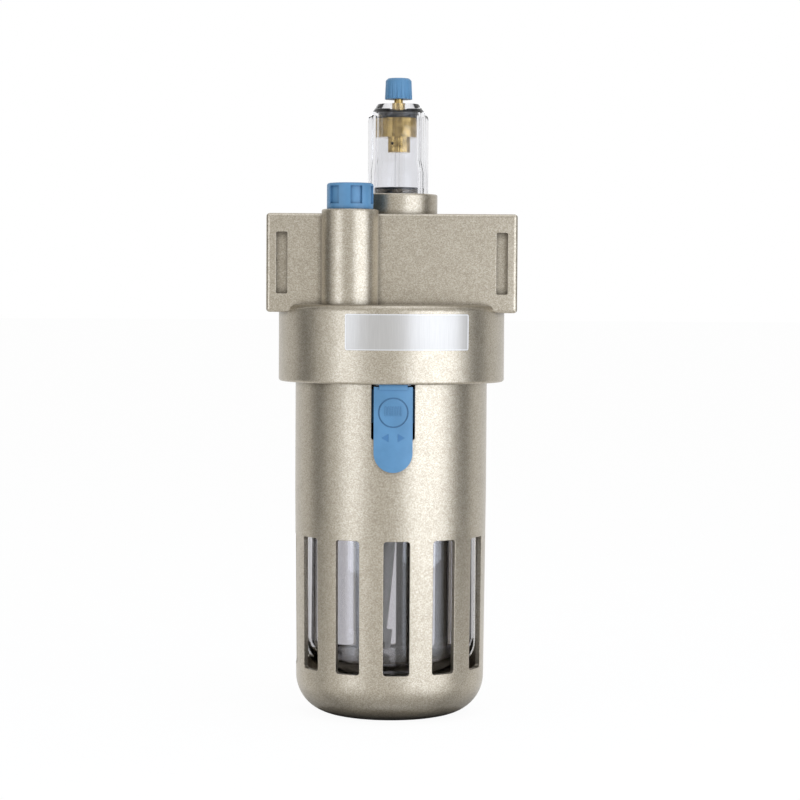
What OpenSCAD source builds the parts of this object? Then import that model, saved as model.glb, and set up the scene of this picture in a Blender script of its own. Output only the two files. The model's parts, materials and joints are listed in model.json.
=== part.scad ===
// Air line lubricator: a threaded port block that meters oil into an air stream, with a sight dome above and
// a clear oil bowl in a slotted guard below. All sizes are in millimetres. The origin is the centre of the
// guard's flat bottom, +Z is up, the inlet is at -X, the outlet at +X and the lock button at the front, -Y.

/* [Port block] */
// Width over the two port faces
block_w = 90; // [88:1:104]
// Depth from the front face to the rear face
block_d = 38; // [37:1:44]
// Height of the block
block_h = 35.4; // [34:0.1:42]
// Radius on the block's edges
block_round = 1.4; // [0.6:0.1:2]
// How deep the block is sunk into the collar
block_sink = 2.8; // [2:0.1:4]
// Radius of the port threads, at the crest of the bore
port_r = 12.06; // [11:0.01:13]
// Length of the port threads
port_len = 16; // [12:1:18]
// Width of the chamfer at a port's mouth
port_chamfer = 1.1; // [0.5:0.1:1.5]
// Radius of the air passage on the inlet side
inlet_r = 9.5; // [9:0.1:10]
// How much narrower the air passage is on the outlet side, at the radius
outlet_step = 0.8; // [0.6:0.1:1.2]

/* [Clamp slots] */
// Distance from a port face to the middle of its clamp slots
clamp_inset = 5.6; // [5:0.1:7]
// Width of a clamp slot
clamp_w = 4.1; // [3:0.1:5]
// Height of the block above and below a clamp slot
clamp_rim = 6.65; // [6:0.05:9]
// Depth of a clamp slot
clamp_depth = 3.6; // [2:0.1:4]

/* [Collar] */
// Thickness of the collar's wall outside the bayonet groove
collar_wall = 3; // [2.4:0.1:6]
// Thickness of the collar's roof over the bowl
collar_roof = 5.4; // [4.5:0.1:8]
// Radius on the collar's upper edge
collar_round = 2.3; // [0.8:0.1:2.6]
// Radius on the collar's lower edge
collar_foot_round = 1; // [0.5:0.1:1.5]
// How far the guard reaches past the bayonet groove
lip_h = 1.85; // [1.65:0.05:3]
// Height of the bayonet ledge inside the collar
ledge_h = 7.5; // [7:0.1:8]

/* [Ring boss] */
// Distance of the sight dome's axis from the block's middle, towards the outlet
dome_x = 2.1; // [1:0.1:4]
// Thickness of the ring boss round its recess
ring_wall = 3; // [2:0.1:4.5]
// Height of the ring boss above the block
ring_h = 7.5; // [7:0.5:10]
// Depth of the recess in the ring boss
ring_recess = 2.5; // [2:0.1:3]

/* [Sight dome] */
// Radius over the dome's rounded corners
dome_r = 10.95; // [10:0.05:12]
// How far the sharp corners of the eight-sided prism would stand out past that
corner_step = 0.35; // [0.3:0.05:0.6]
// Height of the dome above its seat
dome_h = 33.9; // [33:0.1:37]
// Height of the sloping shoulder at the dome's top
shoulder_h = 4.9; // [4:0.1:6]
// How far the shoulder draws in
shoulder_in = 3.45; // [2.5:0.05:4]
// Thickness of the dome's top wall
dome_roof = 3.7; // [3:0.1:4]
// How far the threaded spigot is set in from the dome's corners
spigot_inset = 1.05; // [1:0.05:1.2]
// Length of the threaded spigot
spigot_h = 12; // [11.5:0.1:12.5]
// Thickness of the wall round the drip chamber, at the spigot
spigot_wall = 1.5; // [1.4:0.05:1.8]
// How much narrower the bore round the valve body is than the chamber, at the radius
valve_bore_step = 0.8; // [0.6:0.05:1.2]
// Height of the cone between the chamber and the valve bore
chamber_cone_h = 4.5; // [3:0.1:5]
// Radius of the oil channel in the dome's wall
channel_r = 0.4; // [0.3:0.05:0.45]

/* [Needle valve] */
// Gap between the valve body's head and its bore
head_gap = 0.2; // [0.15:0.05:0.6]
// Height of the valve body's head
head_h = 6.9; // [6:0.1:7.5]
// Radius of the valve body's lower part
nose_r = 4.05; // [3.5:0.05:4.3]
// Height of the valve body's lower part
nose_h = 5.4; // [5:0.1:6]
// Thickness of the valve body's threaded neck round the needle's stem
neck_wall = 0.65; // [0.5:0.05:1]
// Radius of the needle's stem
stem_r = 1.6; // [1.4:0.05:1.8]
// Thickness of the black seal above the valve body
valve_seal_t = 1.5; // [1:0.1:1.8]
// Radius of the seat hole that the needle closes
seat_r = 0.6; // [0.5:0.05:0.8]

/* [Adjusting knob] */
// Radius of the knob at its foot
knob_r = 5; // [4.6:0.1:6]
// How much narrower the knob is at its top, at the radius
knob_taper = 0.3; // [0.1:0.05:0.5]
// Height of the knob
knob_h = 7.5; // [6.5:0.1:10]
// Gap between the knob and the dome
knob_gap = 1.9; // [1.5:0.1:3]
// Number of flutes round the knob
knob_flutes = 18; // [12:1:20]
// Radius of a flute
flute_r = 0.5; // [0.3:0.05:0.55]

/* [Fill plug] */
// Distance of the plug's axis from the block's middle, towards the inlet
plug_x = 15; // [13:0.1:16]
// Thickness of the fill boss round the seal's seat
boss_wall = 2.45; // [1.8:0.05:3]
// Height of the fill boss above the block
fill_boss_h = 1.3; // [0.8:0.1:3]
// How far the plug's head reaches past the seal's seat
plug_brim = 0.6; // [0.4:0.1:1.4]
// Height of the plug's head
plug_h = 9.3; // [8:0.1:11]
// Height of the plain rim at the foot of the head
plug_rim_h = 1.9; // [1:0.1:2.5]
// Number of grip panels round the head
plug_panels = 6; // [5:1:8]
// Depth of a grip panel
panel_depth = 0.8; // [0.3:0.1:1.1]
// Height of the plain edge above the grip panels
plug_edge_h = 1.1; // [1:0.1:1.5]
// Radius of the plug's threads
plug_thread_r = 6.9; // [6.6:0.1:7.1]
// Length of the plug below its head
plug_reach = 6; // [5.5:0.1:7]
// Radius of the fill hole that leads down to the bowl
fill_hole_r = 2.8; // [2:0.1:3]
// Distance between the fill hole and the bowl's wall
fill_hole_gap = 0.1; // [0.05:0.05:0.5]

/* [Bowl guard] */
// Outer radius of the guard
guard_r = 35; // [34:0.1:38]
// How much narrower the guard is at its foot, at the radius
guard_draft = 0.6; // [0.2:0.1:1]
// Thickness of the guard's wall
guard_wall = 1.8; // [1.5:0.1:2]
// Height of the guard
guard_h = 134.9; // [130:0.1:150]
// Radius of the corner at the guard's foot
guard_corner = 14; // [10:0.5:15]
// Radius of the hole in the guard's bottom
guard_hole_r = 10; // [6:0.5:12]
// Number of viewing slots
slot_count = 12; // [8:1:12]
// Width of a viewing slot
slot_w = 9.4; // [7:0.1:11]
// Height of a viewing slot
slot_h = 47.8; // [40:0.1:58]
// Height of the slots' lower edge
slot_z = 17.9; // [17:0.1:22]
// Corner radius of a viewing slot
slot_corner = 1.1; // [0.5:0.1:2]
// Turn of the first slot from the front, in degrees
slot_turn = 3.8; // [0:0.1:6]
// Angle that a bayonet lug takes up, in degrees
lug_angle = 24; // [18:1:26]
// Height of a bayonet lug
lug_h = 3.5; // [3:0.1:3.8]
// How far a lug stands out of the guard
lug_out = 2.8; // [2:0.1:2.9]

/* [Oil bowl] */
// Gap between the bowl and the guard's wall
bowl_gap = 1.8; // [1.7:0.1:2.2]
// Thickness of the bowl's wall
bowl_wall = 2.8; // [2.4:0.1:3]
// Thickness of the bowl's floor
bowl_floor = 4; // [3:0.1:5]
// Height of the bowl's underside
bowl_z = 14.5; // [12:0.5:15]
// Outer corner radius at the bowl's foot
bowl_corner = 12; // [9:0.5:13]
// How far the flange that rests on the guard stays inside the guard's outer face
flange_inset = 0.2; // [0.1:0.1:0.6]
// Thickness of the flange
flange_h = 3; // [2.5:0.1:3.2]
// How far the neck above the flange is set in from the flange
neck_step = 2.6; // [2.5:0.1:2.8]
// Height of the neck above the flange
bowl_neck_h = 5.5; // [5.3:0.1:6.5]
// Section radius of the bowl's seal
bowl_ring_s = 1.2; // [1:0.05:1.3]

/* [Lock button] */
// Turn of the button from the front, in degrees
lock_turn = 1.2; // [0:0.1:2]
// Width of the button
lock_w = 13.7; // [12:0.1:14.5]
// Height of the button
lock_h = 30.2; // [27:0.1:32]
// Thickness of the button outside the guard
lock_t = 1.8; // [1.4:0.1:2]
// Height of the block behind the button
lock_block_h = 13.9; // [13:0.1:14.5]
// Travel of the button
lock_travel = 4; // [3.5:0.1:4.2]
// Width of the tongue that enters the collar
tongue_w = 10; // [7:0.5:10.5]
// Height of the tongue
tongue_h = 3.7; // [3.2:0.1:3.8]
// How far the hooks reach past the button on each side
hook_reach = 1.65; // [1.2:0.05:2]

/* [Lock spring] */
// Radius of the spring at the middle of its wire
coil_r = 1; // [0.8:0.05:1]
// Radius of the spring's wire
wire_r = 0.2; // [0.15:0.01:0.25]
// Number of turns
spring_turns = 9; // [6:1:10]

/* [Oil feed] */
// Thickness of metal between the air passage and the oil duct behind it
duct_wall = 2.5; // [2:0.1:3]
// Outer radius of the siphon tube
tube_r = 3; // [2.8:0.1:3.2]
// Thickness of the siphon tube's wall
tube_wall = 1; // [0.7:0.1:1.1]
// Radius of the siphon tube's gentle bend
tube_bend_r = 500; // [480:10:900]
// Direction in which the tube leans, in degrees from +X
tube_lean = 241; // [230:1:260]
// Thickness of the strainer round the tube
strainer_wall = 2; // [1.6:0.1:2.5]
// Height of the strainer
strainer_h = 9; // [8:0.5:11]
// Thickness of the siphon fitting round the ball's room
fitting_wall = 1.65; // [1.4:0.05:1.8]
// Height of the siphon fitting's body above the bowl's roof
fitting_h = 7.4; // [7:0.1:7.8]
// Radius of the check ball
ball_r = 1.9; // [1.7:0.1:2]
// Radius of the oil duct in the block
duct_r = 1; // [0.8:0.1:1.2]
// Radius of the plug that closes the cross drilling
gallery_plug_r = 1.9; // [1.6:0.1:2]
// Outer radius of the drip nozzle
nozzle_r = 1.9; // [1.6:0.1:2.2]

/* [Damper] */
// Length of the damper's retaining ring
damper_len = 10; // [8:0.5:12]
// Thickness of the retaining ring's wall
damper_wall = 1.4; // [1:0.1:1.6]
// Thickness of the flexible flap
flap_t = 1.2; // [0.8:0.1:1.5]

/* [Clearances] */
// Gap between a thread and its hole, at the side
thread_gap = 0.1; // [0.05:0.01:0.12]
// Gap between parts that turn or slide in each other, and round pressed parts
fit_gap = 0.05; // [0.03:0.01:0.06]
// Gap between a seal and its groove
seal_gap = 0.05; // [0.02:0.01:0.06]
// Gap between the guard and the collar
guard_gap = 0.35; // [0.3:0.05:0.4]
// Gap round the lock's parts that slide past the guard and the bowl
lock_gap = 0.4; // [0.35:0.05:0.45]

/* [Hidden] */
$fn = 96;

champagne = "#b9af9e";
blue = "#6098c6";
clear = [0.86, 0.9, 0.95, 0.35];
brass = "#b6964a";
black = "#222222";

// A small overlap that makes a cut run past the face it opens
cut = 1;

// The bayonet: entry gaps, ledge and groove for the lugs, with the collar round them
lug_count = 4;
bayonet_turn = 45;
lug_turn = 22.5;
lug_gap = 0.25;
groove_gap = 0.4;
collar_z = guard_h - lip_h - groove_gap - lug_h - lug_gap - ledge_h;
mouth_r = guard_r + guard_gap;
ledge_top = collar_z + ledge_h;
lug_z = ledge_top + lug_gap;
groove_r = guard_r + lug_out + groove_gap;
groove_top = lug_z + lug_h + groove_gap;
entry_angle = lug_angle + 4;
collar_r = groove_r + collar_wall;

// The bowl in its guard, and the seat of the bowl's seal
guard_foot_r = guard_r - guard_draft;
bowl_r = guard_r - guard_wall - bowl_gap;
flange_r = guard_r - flange_inset;
flange_top = guard_h + flange_h;
flange_gap = 0.4;
bowl_neck_r = flange_r - neck_step;
neck_top = flange_top + bowl_neck_h;
bowl_ring_r = bowl_neck_r - bowl_ring_s + 0.2;
bowl_ring_z = flange_top + bowl_neck_h / 2;
seal_bore_r = bowl_ring_r + bowl_ring_s + seal_gap;
roof_gap = 0.5;
roof_z = neck_top + roof_gap;
bowl_inner_r = bowl_r - bowl_wall;
bowl_floor_z = bowl_z + bowl_floor;

// Heights of the casting, from the bowl's roof upwards
collar_top = roof_z + collar_roof;
collar_h = collar_top - collar_z;
block_z = collar_top - block_sink;
block_top = block_z + block_h;
port_z = block_z + block_h / 2;
ring_top = block_top + ring_h;
fill_top = block_top + fill_boss_h;
clamp_h = block_h - 2 * clamp_rim;
outlet_r = inlet_r - outlet_step;

// The guard's straight upper part starts below the lock button's lowest place
guard_straight_z = collar_z - lock_h - lock_travel - 6;

// The lock button and what it slides in
lock_top_gap = 0.9;
lock_top = collar_z - lock_top_gap;
lock_z = lock_top - lock_h;
lock_inner_r = guard_r + lock_gap;
lock_outer_r = lock_inner_r + lock_t;
lock_block_z = lock_top - lock_block_h;
lock_block_r = bowl_r + lock_gap + 0.1;
hook_inset = 1;
hook_t = guard_r - guard_wall - lock_gap - lock_block_r;
slot_side_gap = 0.8;
lock_slot_w = lock_w + 2 * slot_side_gap;
lock_slot_z = lock_block_z - lock_travel - 0.8;
lock_slot_top = collar_z + 4.5;
tongue_top = lock_top + tongue_h;
tongue_r = lock_outer_r + 0.4;
notch_r = tongue_r + 0.3;
notch_margin = 0.7;
notch_top = tongue_top + 0.5;
tongue_half_angle = asin(tongue_w / 2 / lock_inner_r);
grip_r = 5.1;
grip_drop = 9;
grip_depth = 0.3;

// The spring stands on the slot's lower edge and ends in a pocket in the button's block
spring_r = guard_r - guard_wall / 2;
pocket_r = coil_r + wire_r + 0.2;
pocket_depth = 7;
spring_z = lock_slot_z + seal_gap;
spring_top = lock_block_z + pocket_depth - seal_gap;
wire_sides = 6;
turn_steps = 12;

// The dome and the valve, from the seat upwards
dome_seal_s = 0.65;
dome_corner_r = dome_r + corner_step;
dome_top_r = dome_r - shoulder_in;
spigot_r = dome_r - spigot_inset;
chamber_r = spigot_r - spigot_wall;
valve_bore_r = chamber_r - valve_bore_step;
dome_thread_r = spigot_r + thread_gap;
dome_floor_z = ring_top - ring_recess - spigot_h;
dome_ring_r = dome_thread_r + dome_seal_s;
ring_recess_r = dome_ring_r + dome_seal_s + 0.1;
ring_r = ring_recess_r + ring_wall;
dome_z = ring_top - ring_recess + 2 * dome_seal_s + seal_gap;
dome_top = dome_z + dome_h;
gasket_t = 1;
spigot_z = dome_floor_z + gasket_t;
dome_turn = 6;
dome_base_chamfer = 0.4;
valve_top = dome_top - dome_roof;
head_top = valve_top - valve_seal_t;
head_z = head_top - head_h;
head_r = valve_bore_r - head_gap;
nose_z = head_z - nose_h;
chamber_top = nose_z - 2.5;
stem_bore_r = stem_r + 0.15;
neck_r = stem_bore_r + neck_wall;
neck_hole_r = neck_r + thread_gap;
seat_top = nose_z + 2;
needle_tip_z = seat_top + 0.9;
needle_cone_h = 2.2;
needle_tip_r = 0.25;
stem_ring_z = head_top - 2.5;
stem_ring_s = 0.38;
stem_ring_r = stem_bore_r - stem_ring_s - 0.02;
stem_groove_r = stem_ring_r - stem_ring_s - 0.02;
stem_groove_h = 2 * stem_ring_s + 0.1;
bleed_hole_r = 0.6;
knob_z = dome_top + knob_gap;
knob_top_r = knob_r - knob_taper;
knob_socket = 4.5;
knob_round = 0.8;

// The oil's way from the siphon up to the dome
gallery_z = dome_floor_z + 3;
gallery_h = 2 * duct_r + 0.4;
gallery_r = spigot_r - 0.7;
channel_at = (chamber_r + spigot_r) / 2;
channel_top = head_z - 1.2;
gallery_plug_len = 4;
siphon_y = inlet_r + duct_wall + duct_r;
ball_seat_r = 1;
ball_room_r = ball_r + 0.4;
fitting_r = ball_room_r + fitting_wall;
fitting_bore_r = fitting_r + fit_gap;
fitting_top = roof_z + fitting_h;
fitting_flange_r = fitting_r + 1.05;
fitting_flange_h = 1.5;
fitting_z = roof_z - fitting_flange_h;
tube_bore_r = tube_r - tube_wall;
nipple_r = tube_bore_r - 0.15;
nipple_h = 6.5;
ball_seat_z = roof_z + 3;
tube_top_z = fitting_z - 0.2;
strainer_r = tube_r + strainer_wall;
strainer_gap = 1.5;
strainer_grip = 4;
strainer_tip = strainer_h - strainer_grip;
max_lean_angle = 15;
tube_end_z = bowl_floor_z + strainer_gap + strainer_tip + strainer_r * sin(max_lean_angle);
tube_angle = asin((tube_top_z - tube_end_z) / tube_bend_r);
strainer_slits = 6;
nozzle_flange_r = nozzle_r + 1.3;
nozzle_flange_h = 1;
nozzle_bore_r = 1;
nozzle_tip_z = port_z + 4.5;
nozzle_top = dome_floor_z + nozzle_flange_h;

// The damper sits against the step between the two halves of the air passage
step_x = -2;
damper_x = step_x - damper_len;
damper_r = inlet_r - fit_gap * 2;
flap_seat_x = damper_x + 2.4;
flap_seat_r = damper_r - damper_wall - 2;
bleed_x = -18;
bleed_r = 1.2;

// The fill plug
plug_bore_r = plug_thread_r + thread_gap;
plug_ring_s = 0.85;
plug_neck_r = plug_thread_r - 1.15;
plug_ring_r = plug_neck_r + seal_gap + plug_ring_s;
plug_seat_r = plug_ring_r + plug_ring_s + 0.2;
plug_seat_h = 2 * plug_ring_s + 0.1;
plug_r = plug_seat_r + plug_brim;
fill_boss_r = plug_seat_r + boss_wall;
plug_reach_r = bowl_inner_r - fill_hole_r - fill_hole_gap;
plug_y = sqrt(plug_reach_r * plug_reach_r - plug_x * plug_x);
plug_bore_z = fill_top - plug_reach - 1.5;
plug_round = 0.9;
panel_angle = 30;
panel_turn = 17;
plug_dish_r = plug_r - 2.2;
plug_dish_h = 0.5;

// Turns children drawn at the front, on -Y, by an angle towards the outlet
module from_front(angle) {
    rotate([0, 0, angle]) children();
}

// Part of a ring, from one angle to another as seen from the front, positive towards the outlet
module arc_ring(r_in, r_out, z, h, from, to) {
    rotate([0, 0, from - 90])
        translate([0, 0, z])
            rotate_extrude(angle = to - from)
                translate([r_in, 0])
                    square([r_out - r_in, h]);
}

// A whole ring
module ring(r_in, r_out, z, h) {
    translate([0, 0, z])
        difference() {
            cylinder(r = r_out, h = h);
            translate([0, 0, -cut]) cylinder(r = r_in, h = h + 2 * cut);
        }
}

// A seal of round section
module o_ring(r, section, z) {
    translate([0, 0, z])
        rotate_extrude()
            translate([r, 0])
                circle(r = section, $fn = 32);
}

// A flat rectangle with rounded corners, about its centre
module rounded_rect(w, h, r) {
    square([w - 2 * r, h], center = true);
    square([w, h - 2 * r], center = true);
    for (x = [-1, 1], y = [-1, 1])
        translate([x * (w / 2 - r), y * (h / 2 - r)])
            circle(r = r, $fn = 32);
}

// A round boss with a rounded top edge
module rounded_boss(r, h, top) {
    rotate_extrude() {
        square([r, h - top]);
        square([r - top, h]);
        translate([r - top, h - top]) circle(r = top, $fn = 32);
    }
}

// A box with every edge rounded, standing on its lower face
module rounded_box(w, d, h, r) {
    translate([0, 0, h / 2])
        intersection() {
            translate([0, 0, -h / 2]) linear_extrude(h) rounded_rect(w, d, r);
            rotate([90, 0, 0]) translate([0, 0, -d / 2]) linear_extrude(d) rounded_rect(w, h, r);
            rotate([90, 0, 90]) translate([0, 0, -w / 2]) linear_extrude(w) rounded_rect(d, h, r);
        }
}

// An opening through the guard's wall at the front, w wide and from z up to z + h
module wall_window(w, h, z, corner) {
    translate([0, 0, z + h / 2])
        rotate([90, 0, 0])
            translate([0, 0, guard_r / 2])
                linear_extrude(guard_r)
                    rounded_rect(w, h, corner);
}

// A port's thread bore, with its mouth chamfer, on the +X side
module port_bore() {
    translate([block_w / 2 - port_len, 0, port_z])
        rotate([0, 90, 0])
            cylinder(r = port_r, h = port_len + cut);
    translate([block_w / 2 - port_chamfer, 0, port_z])
        rotate([0, 90, 0])
            cylinder(r1 = port_r, r2 = port_r + port_chamfer, h = port_chamfer);
}

// The clamp slot of one port face, in the front and the rear of the block
module clamp_slots() {
    for (side = [-1, 1])
        translate([block_w / 2 - clamp_inset, side * (block_d / 2 - clamp_depth / 2 + cut / 2), port_z])
            rotate([90, 0, 0])
                linear_extrude(clamp_depth + cut, center = true)
                    rounded_rect(clamp_w, clamp_h, 0.6);
}

// The space in the collar for the guard, its lugs, the lock's tongue and the bowl's neck
module bayonet_space() {
    translate([0, 0, collar_z - cut]) cylinder(r = mouth_r, h = flange_top + flange_gap - collar_z + cut);
    translate([0, 0, ledge_top]) cylinder(r = groove_r, h = groove_top - ledge_top);
    translate([0, 0, collar_z]) cylinder(r = seal_bore_r, h = roof_z - collar_z);
    for (i = [0 : lug_count - 1]) {
        middle = lug_turn + bayonet_turn + i * 360 / lug_count;
        arc_ring(mouth_r - cut, groove_r, collar_z - cut, ledge_h + 2 * cut,
            middle - entry_angle / 2, middle + entry_angle / 2);
    }
    arc_ring(mouth_r - cut, notch_r, collar_z - cut, notch_top - collar_z + cut,
        lock_turn - tongue_half_angle - notch_margin,
        lock_turn + bayonet_turn + tongue_half_angle + notch_margin);
}

// The ways that the oil takes through the casting, and the hole that puts the bowl under pressure
module oil_ways() {
    translate([dome_x, siphon_y, roof_z - cut]) cylinder(r = fitting_bore_r, h = fitting_h + cut);
    translate([dome_x, siphon_y, roof_z]) cylinder(r = duct_r, h = gallery_z - roof_z);
    translate([dome_x, block_d / 2, gallery_z])
        rotate([90, 0, 0])
            cylinder(r = duct_r, h = block_d / 2 - dome_thread_r + cut);
    translate([dome_x, block_d / 2 + cut, gallery_z])
        rotate([90, 0, 0])
            cylinder(r = gallery_plug_r + fit_gap, h = gallery_plug_len + cut);
    translate([bleed_x, 0, roof_z - cut]) cylinder(r = bleed_r, h = port_z - roof_z);
}

// The fill plug's thread bore with its seal's seat above and the fill hole below
module fill_bore() {
    translate([0, 0, plug_bore_z]) cylinder(r = plug_bore_r, h = plug_reach + 3);
    translate([0, 0, fill_top - plug_seat_h]) cylinder(r = plug_seat_r, h = plug_seat_h + cut);
    translate([0, 0, roof_z - cut]) cylinder(r = fill_hole_r, h = plug_bore_z - roof_z + 2 * cut);
}

// The casting: port block, collar, fill boss and ring boss in one piece
module body_casting() {
    color(champagne)
        difference() {
            union() {
                translate([0, 0, block_z]) rounded_box(block_w, block_d, block_h, block_round);
                translate([0, 0, collar_z + collar_h / 2]) {
                    rounded_boss(collar_r, collar_h / 2, collar_round);
                    mirror([0, 0, 1]) rounded_boss(collar_r, collar_h / 2, collar_foot_round);
                }
                translate([-plug_x, -plug_y, collar_top - block_sink])
                    rounded_boss(fill_boss_r, fill_top - collar_top + block_sink, 0.7);
                translate([dome_x, 0, port_z]) rounded_boss(ring_r, ring_top - port_z, 0.5);
            }
            port_bore();
            mirror([1, 0, 0]) port_bore();
            clamp_slots();
            mirror([1, 0, 0]) clamp_slots();
            translate([-block_w / 2, 0, port_z])
                rotate([0, 90, 0])
                    cylinder(r = inlet_r, h = block_w / 2 + step_x);
            translate([step_x - cut, 0, port_z])
                rotate([0, 90, 0])
                    cylinder(r = outlet_r, h = block_w / 2);
            bayonet_space();
            oil_ways();
            translate([dome_x, 0, dome_floor_z]) cylinder(r = dome_thread_r, h = spigot_h + cut);
            translate([dome_x, 0, ring_top - ring_recess])
                cylinder(r = ring_recess_r, h = ring_recess + cut);
            translate([dome_x, 0, port_z])
                cylinder(r = nozzle_r + fit_gap, h = dome_floor_z - port_z + cut);
            translate([-plug_x, -plug_y, 0]) fill_bore();
        }
}

// Half of the guard's section, drawn in by an amount for its inner face
module guard_section(inset, top) {
    corner_x = guard_foot_r - guard_corner;
    translate([corner_x, guard_corner]) circle(r = guard_corner - inset);
    translate([0, inset]) square([corner_x, guard_corner - inset]);
    polygon([
        [0, guard_corner],
        [guard_foot_r - inset, guard_corner],
        [guard_r - inset, guard_straight_z],
        [guard_r - inset, top],
        [0, top]
    ]);
}

// The guard round the bowl, with its viewing slots, lock slot and bayonet lugs
module bowl_guard() {
    color(champagne) {
        difference() {
            union() {
                rotate_extrude() guard_section(0, guard_h);
                for (i = [0 : lug_count - 1]) {
                    middle = lug_turn + i * 360 / lug_count;
                    arc_ring(guard_r - guard_wall / 2, guard_r + lug_out, lug_z, lug_h,
                        middle - lug_angle / 2, middle + lug_angle / 2);
                }
            }
            rotate_extrude() guard_section(guard_wall, guard_h + cut);
            translate([0, 0, -cut]) cylinder(r = guard_hole_r, h = guard_wall + 2 * cut);
            for (i = [0 : slot_count - 1])
                from_front(slot_turn + i * 360 / slot_count)
                    wall_window(slot_w, slot_h, slot_z, slot_corner);
            from_front(lock_turn)
                wall_window(lock_slot_w, lock_slot_top - lock_slot_z, lock_slot_z, 0.8);
        }
    }
}

// Half of a cup's section with a rounded foot
module cup_section(r, z, top, corner) {
    translate([0, z + corner]) square([r, top - z - corner]);
    translate([0, z]) square([r - corner, corner + cut]);
    translate([r - corner, z + corner]) circle(r = corner);
}

// The clear bowl, with the flange that hangs it in the guard and the groove for its seal
module oil_bowl() {
    color(clear)
        difference() {
            union() {
                rotate_extrude() cup_section(bowl_r, bowl_z, guard_h + flange_h / 2, bowl_corner);
                translate([0, 0, guard_h]) cylinder(r = flange_r, h = flange_h);
                translate([0, 0, guard_h]) cylinder(r = bowl_neck_r, h = flange_h + bowl_neck_h);
            }
            rotate_extrude()
                cup_section(bowl_inner_r, bowl_floor_z, neck_top + cut, bowl_corner - bowl_wall);
            ring(bowl_ring_r - bowl_ring_s - seal_gap, bowl_neck_r + cut,
                bowl_ring_z - bowl_ring_s - seal_gap, 2 * (bowl_ring_s + seal_gap));
        }
}

// The seal between the bowl's neck and the casting
module bowl_o_ring() {
    color(black) o_ring(bowl_ring_r, bowl_ring_s, bowl_ring_z);
}

// The button's outline from the front: square at the top and round at the foot
module lock_outline() {
    translate([0, lock_z + lock_w / 2]) {
        circle(r = lock_w / 2);
        translate([-lock_w / 2, 0]) square([lock_w, lock_h - lock_w / 2]);
    }
}

// What lies between two radii round the guard's axis inside a front outline
module curved_plate(r_in, r_out) {
    intersection() {
        rotate([90, 0, 0]) linear_extrude(2 * guard_r) children();
        ring(r_in, r_out, lock_z - lock_travel, tongue_top - lock_z + 2 * lock_travel);
    }
}

// The lock button: thumb plate, block in the guard's slot, two hooks behind the wall and the tongue
module lock_button() {
    color(blue)
        from_front(lock_turn)
            difference() {
                union() {
                    curved_plate(lock_inner_r, lock_outer_r) lock_outline();
                    curved_plate(lock_block_r, lock_inner_r)
                        translate([-lock_w / 2, lock_block_z]) square([lock_w, lock_block_h]);
                    curved_plate(lock_block_r, lock_block_r + hook_t)
                        translate([-lock_w / 2 - hook_reach, lock_block_z + hook_inset])
                            square([lock_w + 2 * hook_reach, lock_block_h - 2 * hook_inset]);
                    curved_plate(lock_inner_r + 0.2, tongue_r)
                        translate([-tongue_w / 2, lock_top - 1]) square([tongue_w, tongue_h + 1]);
                }
                translate([0, -spring_r, lock_block_z - cut]) cylinder(r = pocket_r, h = pocket_depth + cut);
                curved_plate(lock_outer_r - grip_depth, lock_outer_r + cut)
                    translate([0, lock_top - grip_drop])
                        difference() {
                            circle(r = grip_r + 0.25);
                            circle(r = grip_r - 0.25);
                        }
            }
}

// The wire's centre and the points round it after a number of steps along the coil
function coil_rise(i) = spring_z + wire_r
    + (spring_top - spring_z - 2 * wire_r) * i / (spring_turns * turn_steps);
function wire_ring(i) = [for (k = [0 : wire_sides - 1])
    let (a = 360 * i / turn_steps, b = 360 * k / wire_sides, r = coil_r + wire_r * cos(b))
        [r * cos(a), r * sin(a), coil_rise(i) + wire_r * sin(b)]];

// The spring under the lock button's block
module lock_spring() {
    steps = spring_turns * turn_steps;
    points = [for (i = [0 : steps]) each wire_ring(i)];
    sides = [for (i = [0 : steps - 1], k = [0 : wire_sides - 1])
        let (a = i * wire_sides + k, b = i * wire_sides + (k + 1) % wire_sides)
            each [[a, a + wire_sides, b], [b, a + wire_sides, b + wire_sides]]];
    start = [for (k = [0 : wire_sides - 1]) k];
    end = [for (k = [wire_sides - 1 : -1 : 0]) steps * wire_sides + k];
    color("silver")
        from_front(lock_turn)
            translate([0, -spring_r, 0])
                polyhedron(points = points, faces = concat(sides, [start, end]));
}

// The clear dome: an eight-sided prism with a sloping shoulder, on a threaded spigot
module sight_dome() {
    color(clear)
        translate([dome_x, 0, 0])
            difference() {
                union() {
                    intersection() {
                        translate([0, 0, dome_z])
                            rotate([0, 0, dome_turn - 90])
                                cylinder(r = dome_corner_r, h = dome_h, $fn = 8);
                        rotate_extrude()
                            polygon([
                                [0, dome_z],
                                [dome_r - dome_base_chamfer, dome_z],
                                [dome_r, dome_z + dome_base_chamfer],
                                [dome_r, dome_top - shoulder_h],
                                [dome_top_r, dome_top],
                                [0, dome_top]
                            ]);
                    }
                    translate([0, 0, spigot_z]) cylinder(r = spigot_r, h = dome_z - spigot_z + cut);
                }
                rotate_extrude()
                    polygon([
                        [0, spigot_z - cut],
                        [chamber_r, spigot_z - cut],
                        [chamber_r, chamber_top - chamber_cone_h],
                        [valve_bore_r, chamber_top],
                        [valve_bore_r, valve_top],
                        [0, valve_top]
                    ]);
                cylinder(r = neck_hole_r, h = dome_top + cut);
                ring(gallery_r, spigot_r + cut, gallery_z - gallery_h / 2, gallery_h);
                translate([0, channel_at, gallery_z])
                    cylinder(r = channel_r, h = channel_top - gallery_z + channel_r / 2);
                translate([0, channel_at + channel_r / 2, channel_top])
                    rotate([90, 0, 0])
                        cylinder(r = channel_r, h = channel_at - valve_bore_r + cut);
            }
}

// The seal under the dome, in the ring boss
module dome_o_ring() {
    color(black)
        translate([dome_x, 0, 0])
            o_ring(dome_ring_r, dome_seal_s, ring_top - ring_recess + dome_seal_s);
}

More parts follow.
